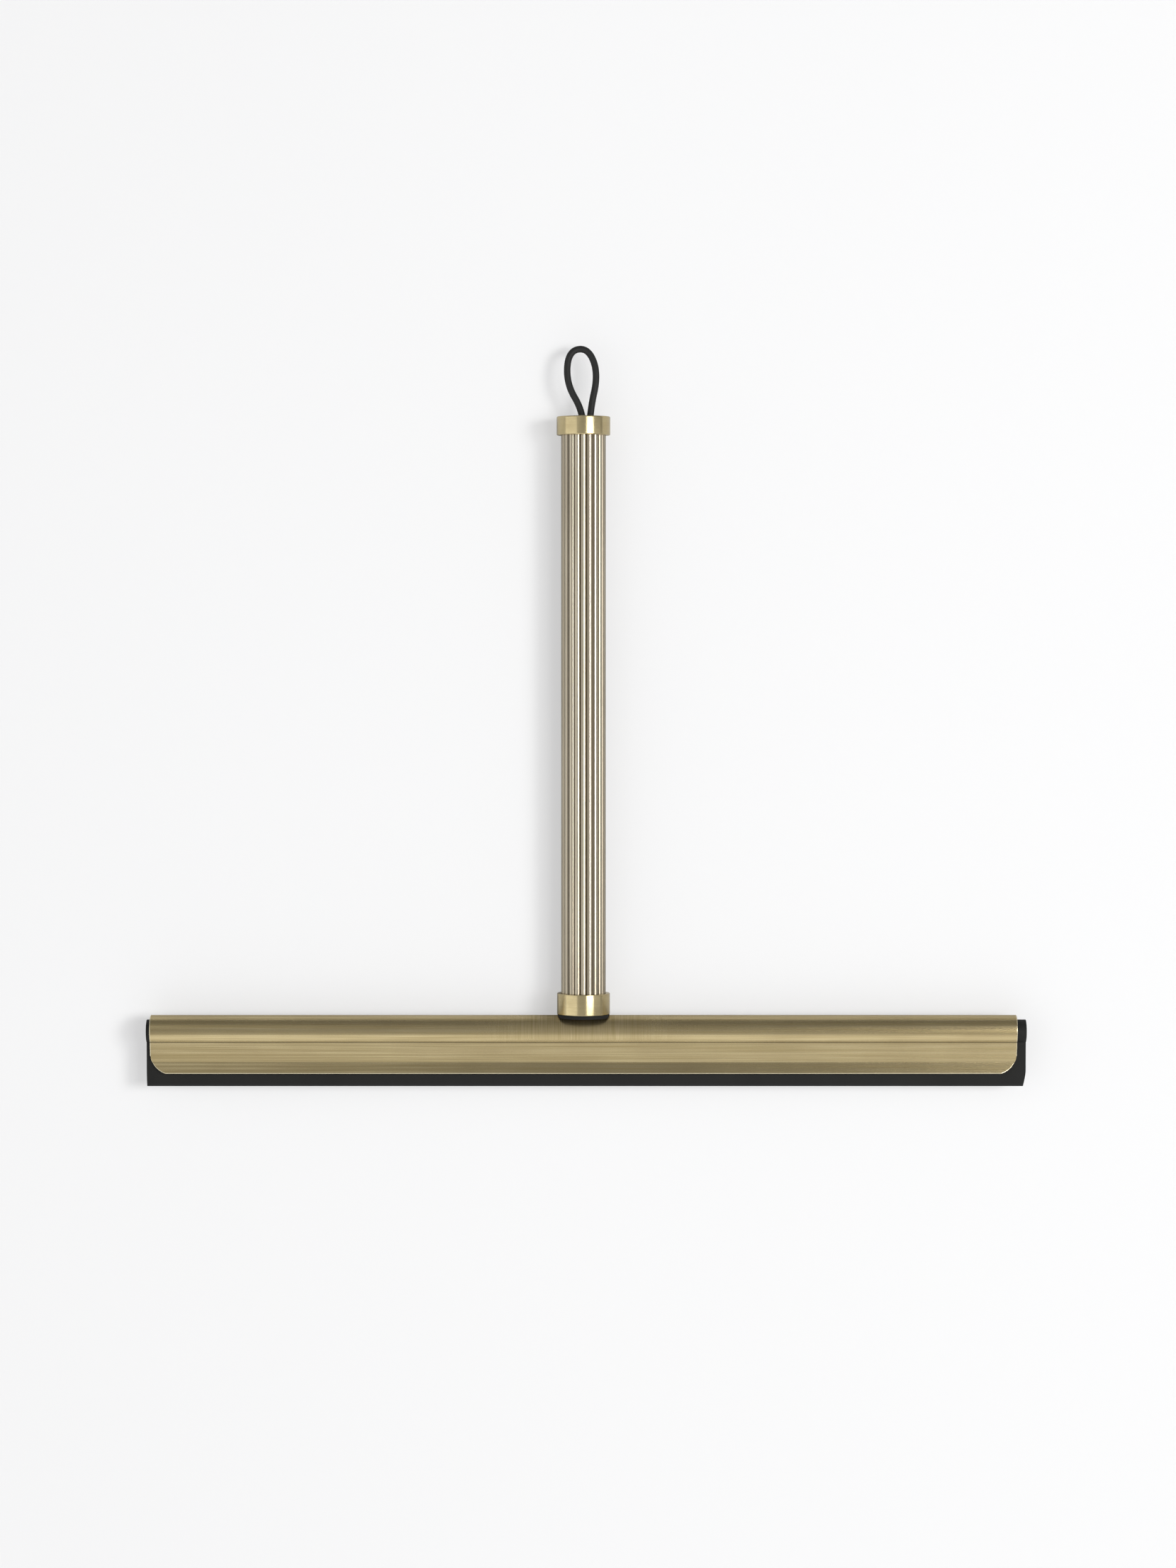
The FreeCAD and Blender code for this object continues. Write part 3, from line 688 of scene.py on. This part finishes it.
# a reed is an arc through its crest and the floor of the groove on either side
half_pitch = reckon("DIVIDE", math.pi, given["Reeds"])
off_crest = reckon("WRAP", angle, half_pitch, reckon("MULTIPLY", half_pitch, -1.0))
groove = reckon("SUBTRACT", given["Crest Radius"], given["Reed Depth"])
half_chord = reckon("MULTIPLY", groove, reckon("SINE", half_pitch))
rise = reckon("SUBTRACT", given["Crest Radius"], reckon("MULTIPLY", groove, reckon("COSINE", half_pitch)))
squares = reckon("ADD", reckon("MULTIPLY", half_chord, half_chord), reckon("MULTIPLY", rise, rise))
reed_radius = reckon("DIVIDE", squares, reckon("MULTIPLY", rise, 2.0))
reed_centre = reckon("SUBTRACT", given["Crest Radius"], reed_radius)
sideways = reckon("MULTIPLY", reed_centre, reckon("SINE", off_crest))
radius_squared = reckon("MULTIPLY", reed_radius, reed_radius)
inside = reckon("SUBTRACT", radius_squared, reckon("MULTIPLY", sideways, sideways))
forward = reckon("MULTIPLY", reed_centre, reckon("COSINE", off_crest))
outline = reckon("ADD", forward, reckon("SQRT", inside))
height = reckon("DIVIDE", reckon("SUBTRACT", outline, groove), given["Reed Depth"])
# along the blank's four rows: up the outside, in to the bore, back down it and out again
row = reckon("ADD", spot["Z"], 2.0)
first = reckon("MULTIPLY", row, 1.0, clamp=True)
second = reckon("SUBTRACT", row, 1.0, clamp=True)
third = reckon("SUBTRACT", row, 2.0, clamp=True)
fourth = reckon("SUBTRACT", row, 3.0, clamp=True)
to_bore = reckon("SUBTRACT", second, fourth)
along = reckon("SUBTRACT", first, third)
bore = reckon("SUBTRACT", groove, given["Wall"])
radius = reckon("ADD", outline, reckon("MULTIPLY", reckon("SUBTRACT", bore, outline), to_bore))
reach = reckon("SUBTRACT", given["End"], given["Start"])
y = reckon("ADD", given["Start"], reckon("MULTIPLY", reach, along))
x = reckon("MULTIPLY", radius, reckon("SINE", angle))
z = reckon("ADD", given["Axis Height"], reckon("MULTIPLY", radius, reckon("COSINE", angle)))
place = add(reeding, "ShaderNodeCombineXYZ", {"X": x, "Y": y, "Z": z}).outputs[0]
flat = add(reeding, "ShaderNodeCombineXYZ", {"X": reckon("MULTIPLY", angle, bore), "Y": y}).outputs[0]
marked = add(reeding, "GeometryNodeStoreNamedAttribute", {
    "Geometry": blank.outputs["Mesh"], "Name": "reed_height", "Value": height,
}, data_type="FLOAT", domain="POINT").outputs[0]
mapped = add(reeding, "GeometryNodeStoreNamedAttribute", {
    "Geometry": marked, "Name": "across", "Value": flat,
}, data_type="FLOAT2", domain="CORNER").outputs[0]
bent = add(reeding, "GeometryNodeSetPosition", {"Geometry": mapped, "Position": place}).outputs[0]
joined = add(reeding, "GeometryNodeMergeByDistance", {"Geometry": bent, "Distance": 1e-6}).outputs[0]
turned_out = add(reeding, "GeometryNodeFlipFaces", {"Mesh": joined}).outputs[0]
real = add(reeding, "GeometryNodeRealizeInstances", {0: turned_out}).outputs[0]
finished = add(reeding, "GeometryNodeSetMaterial", {"Geometry": real, "Material": given["Finish"]}).outputs[0]
add(reeding, "NodeGroupOutput", {0: finished})

# painted colours: the crest's is partly a painted highlight, the groove's is painted shade
REED_CREST = "#dcd2bc"
REED_FLANK = "#a09683"
REED_GROOVE_SHADE = "#4c443b"
tube_finish, tree = new_material("brass_tube_drawn_satin")
place = add(tree, "ShaderNodeTexCoord").outputs["Object"]
# die lines 0.3 mm apart and 70 mm long, and hand wear in patches about 55 mm long
line_at = add(tree, "ShaderNodeMapping", {"Vector": place, "Scale": (3200.0, 14.0, 3200.0)}).outputs[0]
lines = add(tree, "ShaderNodeTexNoise", {"Vector": line_at, "Scale": 1.0, "Detail": 2.0}).outputs[0]
wear_at = add(tree, "ShaderNodeMapping", {"Vector": place, "Scale": (110.0, 18.0, 110.0)}).outputs[0]
wear = add(tree, "ShaderNodeTexNoise", {"Vector": wear_at, "Scale": 1.0, "Detail": 2.0}).outputs[0]
crest = add(tree, "ShaderNodeAttribute", attribute_name="reed_height").outputs["Fac"]
# crests painted lighter, partly burnish and partly painted highlight; grooves painted dark as painted shade
crest_burnish_and_highlight = add(tree, "ShaderNodeMapRange", {"Value": crest, "From Min": 0.55, "From Max": 1.0}).outputs[0]
groove_shade_mask = add(tree, "ShaderNodeMapRange", {
    "Value": crest, "From Min": 0.0, "From Max": 0.45, "To Min": 1.0, "To Max": 0.0,
}).outputs[0]
low = add(
    tree, "ShaderNodeMix", {0: groove_shade_mask, 6: linear(REED_FLANK), 7: linear(REED_GROOVE_SHADE)}, data_type="RGBA"
).outputs[2]
shine = add(tree, "ShaderNodeMath", {0: crest_burnish_and_highlight, 1: wear}, operation="MULTIPLY").outputs[0]
tone = add(tree, "ShaderNodeMix", {0: shine, 6: low, 7: linear(REED_CREST)}, data_type="RGBA").outputs[2]
rough = add(tree, "ShaderNodeMapRange", {"Value": shine, "To Min": 0.28, "To Max": 0.20}).outputs[0]
relief = add(tree, "ShaderNodeBump", {"Strength": 0.08, "Distance": 0.00003, "Height": lines}).outputs[0]
across = add(tree, "ShaderNodeTangent", direction_type="UV_MAP", uv_map="across").outputs[0]
surface = add(tree, "ShaderNodeBsdfPrincipled", {
    "Base Color": tone, "Metallic": 1.0, "Roughness": rough, "Anisotropic": 0.4,
    "Normal": relief, "Tangent": across,
})
add(tree, "ShaderNodeOutputMaterial", {"Surface": surface.outputs[0]})

tube = bpy.data.objects.new("handle_tube_reeded", bpy.data.meshes.new("handle_tube_reeded"))
bpy.context.scene.collection.objects.link(tube)
shaping = tube.modifiers.new("reeding", "NODES")
shaping.node_group = reeding
for item in reeding.interface.items_tree:
    if item.in_out == "INPUT" and item.name == "Finish":
        shaping[item.identifier] = tube_finish
# the tree's result becomes the tube's own mesh
evaluated = tube.evaluated_get(bpy.context.evaluated_depsgraph_get())
tube_mesh = bpy.data.meshes.new_from_object(evaluated)
tube.modifiers.clear()
tube.data = tube_mesh
tube_mesh.shade_smooth()
tube_mesh.set_sharp_from_angle(angle=math.radians(38))
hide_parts("handle_tube")
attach(tube, "handle_and_channel")


# ---- End cap -----------------------------------------------------------------------------
# Turned from the same bar as the collar, with softened rims. Its threaded spigot screws into the
# bush, and one hole takes both strands of the cord.
CAP_ROUND = 0.5 * MM
CORD_HOLE = 4.185 * MM
CAP_SOCKET_DEPTH = 2.6 * MM
SPIGOT_RADIUS = 5.22 * MM
SPIGOT_LENGTH = 9.0 * MM

cap_low, cap_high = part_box("end_cap")
cap_radius = (cap_high.x - cap_low.x) / 2
cap_skirt_y = cap_low.y + SPIGOT_LENGTH - CAP_SOCKET_DEPTH
spigot_root = cap_low.y + SPIGOT_LENGTH
cap = lathe("end_cap_brass", [
    (TUBE_SOCKET, cap_skirt_y, 0.12 * MM),
    (cap_radius, cap_skirt_y, CAP_ROUND),
    (cap_radius, cap_high.y, CAP_ROUND),
    (CORD_HOLE, cap_high.y, 0.3 * MM),
    (CORD_HOLE, cap_low.y, 0.1 * MM),
    (SPIGOT_RADIUS, cap_low.y, 0.1 * MM),
    (SPIGOT_RADIUS, spigot_root, 0),
    (TUBE_SOCKET, spigot_root, 0),
])
cap.data.materials.append(turned_finish)
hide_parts("end_cap")
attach(cap, "handle_and_channel")


# ---- Cord crimp --------------------------------------------------------------------------
# Soft aluminium sleeve squeezed on both ends of the cord inside the tube. It is wider than the
# cap's hole, so a pull on the loop can't draw the cord out.
ALUMINIUM_LIGHT = "#d9dadb"
ALUMINIUM_DARK = "#bcbdbf"
crimp_finish, tree = new_material("aluminium_squeezed")
place = add(tree, "ShaderNodeTexCoord").outputs["Object"]
# drawn tube: lines 0.3 mm apart and about 17 mm long
drawn_at = add(tree, "ShaderNodeMapping", {"Vector": place, "Scale": (3300.0, 60.0, 3300.0)}).outputs[0]
drawn = add(tree, "ShaderNodeTexNoise", {"Vector": drawn_at, "Scale": 1.0, "Detail": 2.0}).outputs[0]
tone = add(
    tree, "ShaderNodeMix", {0: drawn, 6: linear(ALUMINIUM_DARK), 7: linear(ALUMINIUM_LIGHT)}, data_type="RGBA"
).outputs[2]
relief = add(tree, "ShaderNodeBump", {"Strength": 0.3, "Distance": 0.00005, "Height": drawn}).outputs[0]
surface = add(tree, "ShaderNodeBsdfPrincipled", {
    "Base Color": tone, "Metallic": 1.0, "Roughness": 0.38, "Normal": relief,
})
add(tree, "ShaderNodeOutputMaterial", {"Surface": surface.outputs[0]})
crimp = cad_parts["cord_crimp"]
crimp.data.materials.clear()
crimp.data.materials.append(crimp_finish)


# ---- Cord loop ---------------------------------------------------------------------------
# Round black rubber cord, 2.65 mm, extruded. It was bent round and both ends pushed through the
# cap, so the loop leans to one side and lies a little lower than the cap.
CORD_DIAMETER = 2.65 * MM
CORD_BLACK = "#161616"
CORD_HANDLED = "#262625"
CORD_ROUTE = (                # millimetres, from one end round to the other
    (-0.16, 111.25, 10.6),
    (-0.16, 123.05, 10.7),
    (-0.16, 134.95, 10.6),
    (-6.8, 146.15, 9.9),
    (-6.0, 158.95, 8.7),
    (1.8, 160.35, 8.5),
    (5.9, 150.15, 9.8),
    (2.56, 134.95, 10.6),
    (2.56, 123.05, 10.5),
    (2.56, 111.25, 10.6),
)

line = bpy.data.curves.new("cord_loop_rubber", "CURVE")
line.dimensions = "3D"
spline = line.splines.new("NURBS")
spline.points.add(len(CORD_ROUTE) - 1)
for point, (x, y, z) in zip(spline.points, CORD_ROUTE):
    point.co = (x * MM, y * MM, z * MM, 1.0)
spline.order_u = 3
spline.use_endpoint_u = True
spline.resolution_u = 24
line.bevel_depth = CORD_DIAMETER / 2
line.bevel_resolution = 10
line.use_fill_caps = True
cord = bpy.data.objects.new("cord_loop_rubber", line)
bpy.context.scene.collection.objects.link(cord)

cord_finish, tree = new_material("rubber_cord_extruded")
place = add(tree, "ShaderNodeTexCoord").outputs["Object"]
# extruded skin: a 0.25 mm grain, and handling marks a few millimetres across
grain = add(tree, "ShaderNodeTexNoise", {"Vector": place, "Scale": 4000.0, "Detail": 2.0}).outputs[0]
marks = add(tree, "ShaderNodeTexNoise", {"Vector": place, "Scale": 320.0, "Detail": 3.0}).outputs[0]
tone = add(
    tree, "ShaderNodeMix", {0: marks, 6: linear(CORD_BLACK), 7: linear(CORD_HANDLED)}, data_type="RGBA"
).outputs[2]
rough = add(tree, "ShaderNodeMapRange", {"Value": marks, "To Min": 0.50, "To Max": 0.68}).outputs[0]
relief = add(tree, "ShaderNodeBump", {"Strength": 0.25, "Distance": 0.00004, "Height": grain}).outputs[0]
surface = add(tree, "ShaderNodeBsdfPrincipled", {
    "Base Color": tone, "Roughness": rough, "IOR": 1.52, "Specular IOR Level": 0.4, "Normal": relief,
})
add(tree, "ShaderNodeOutputMaterial", {"Surface": surface.outputs[0]})
line.materials.append(cord_finish)
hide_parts("cord_loop")
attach(cord, "handle_and_channel")


# ---- Table -------------------------------------------------------------------------------
# A plain pale table top, which isn't part of the squeegee. It keeps part of the lamps' shading and
# the squeegee's own shadow. Only the camera sees its pale colour: every other ray, so what the brass
# mirrors too, finds it darker.
TABLE_HALF = 12.0
TABLE_COLOUR = "#f5f5f5"
TABLE_MIRRORED = "#c8c8c8"    # the same for every ray but the camera's
TABLE_EVENNESS = 0.45         # how much of its colour doesn't depend on the lamps
BACKDROP_COLOUR = "#f4f4f5"

table_mesh = bpy.data.meshes.new("table")
table_corners = [(x * TABLE_HALF, y * TABLE_HALF, 0) for x, y in ((-1, -1), (1, -1), (1, 1), (-1, 1))]
table_mesh.from_pydata(table_corners, [], [(0, 1, 2, 3)])
table = bpy.data.objects.new("table", table_mesh)
bpy.context.scene.collection.objects.link(table)
table_finish, tree = new_material("table_matt_white")
seen = add(tree, "ShaderNodeLightPath").outputs["Is Camera Ray"]
paint = add(
    tree, "ShaderNodeMix", {0: seen, 6: linear(TABLE_MIRRORED), 7: linear(TABLE_COLOUR)}, data_type="RGBA"
).outputs[2]
lit = add(tree, "ShaderNodeBsdfDiffuse", {"Color": paint}).outputs[0]
even = add(tree, "ShaderNodeEmission", {"Color": linear(BACKDROP_COLOUR), "Strength": 1.0}).outputs[0]
share = add(tree, "ShaderNodeMath", {0: seen, 1: TABLE_EVENNESS}, operation="MULTIPLY").outputs[0]
mixed = add(tree, "ShaderNodeMixShader", {0: share, 1: lit, 2: even}).outputs[0]
add(tree, "ShaderNodeOutputMaterial", {"Surface": mixed})
table_mesh.materials.append(table_finish)


# ---- Light -------------------------------------------------------------------------------
# A soft lamp on the right gives the bright line down each round piece. Wider and weaker ones fill the
# sides, the foot and both ends of the spine, and lamp_shadow, which no metal mirrors, throws the
# shadow. The room darkens up the grip and to the right, and only the camera sees it plain white.
ROOM_LEAN = 0.35              # how fast it darkens to the right, against up the grip

world = bpy.data.worlds.new("studio")
bpy.context.scene.world = world
world.use_nodes = True
tree = world.node_tree
tree.nodes.clear()
ray = add(tree, "ShaderNodeLightPath").outputs
way = add(tree, "ShaderNodeTexCoord").outputs["Generated"]
ways = add(tree, "ShaderNodeSeparateXYZ", {0: way}).outputs
towards = add(
    tree, "ShaderNodeMath", {0: ways["X"], 1: ROOM_LEAN, 2: ways["Y"]}, operation="MULTIPLY_ADD"
).outputs[0]
level = add(tree, "ShaderNodeMapRange", {
    "Value": towards, "From Min": -0.9, "From Max": 0.9, "To Min": 0.54, "To Max": 0.20,
}).outputs[0]
room = add(tree, "ShaderNodeBackground", {"Color": linear("#ffffff"), "Strength": level}).outputs[0]
white = add(tree, "ShaderNodeBackground", {"Color": linear(BACKDROP_COLOUR), "Strength": 1.0}).outputs[0]
mixed = add(tree, "ShaderNodeMixShader", {0: ray["Is Camera Ray"], 1: room, 2: white}).outputs[0]
add(tree, "ShaderNodeOutputWorld", {"Surface": mixed})

# place in metres, the lamp's level side and its other one, and how bright its face is
for name, place, width, height, brightness in (
    ("lamp_right", (0.87, 0.03, 1.60), 0.62, 0.88, 6.8),
    ("lamp_side", (1.95, 0.0, 1.50), 1.0, 2.4, 0.26),
    ("lamp_left", (-2.35, -0.2, 1.70), 2.2, 2.9, 0.60),
    ("lamp_left_low", (-2.9, -0.2, 0.36), 2.2, 0.7, 0.24),
    ("lamp_top_left", (-0.52, 0.80, 1.60), 0.70, 0.62, 0.36),
    ("lamp_top_right", (0.55, 0.80, 1.60), 0.43, 0.62, 0.42),
    ("lamp_foot", (0.0, -2.0, 1.40), 3.0, 2.2, 0.50),
    ("lamp_shadow", (3.2, 0.5, 3.8), 1.3, 1.3, 15.7),
):
    light = bpy.data.lights.new(name, "AREA")
    light.shape = "RECTANGLE"
    light.size = width
    light.size_y = height
    light.energy = brightness * math.pi * width * height
    lamp = bpy.data.objects.new(name, light)
    bpy.context.scene.collection.objects.link(lamp)
    lamp.location = place
    lamp.rotation_mode = "QUATERNION"
    lamp.rotation_quaternion = (-Vector(place)).to_track_quat("-Z", "Y")
    lamp.visible_camera = False
    lamp.visible_glossy = name != "lamp_shadow"


# ---- Camera ------------------------------------------------------------------------------
# It stands 1.55 m up, almost straight above the grip, and looks a little towards the blade.
CAMERA_HEIGHT = 1.55
CAMERA_PLACE = Vector((0.0018, 0.047, CAMERA_HEIGHT + HANDLE_Z))
CAMERA_AIM = Vector((0.0018, -0.0126, HANDLE_Z))
PICTURE_HEIGHT = 0.6231       # metres that the picture's long side covers at the handle's height
SENSOR = 36.0                 # millimetres

lens = bpy.data.cameras.new("camera")
distance = (CAMERA_PLACE - CAMERA_AIM).length
lens.sensor_width = SENSOR
lens.lens = SENSOR * distance / PICTURE_HEIGHT
lens.clip_start = 0.05
lens.clip_end = 60.0
camera = bpy.data.objects.new("camera", lens)
bpy.context.scene.collection.objects.link(camera)
camera.location = CAMERA_PLACE
tilt = math.atan2(CAMERA_AIM.y - CAMERA_PLACE.y, CAMERA_PLACE.z - CAMERA_AIM.z)
camera.rotation_euler = (tilt, 0.0, 0.0)
bpy.context.scene.camera = camera
bpy.context.scene.view_settings.view_transform = "Standard"
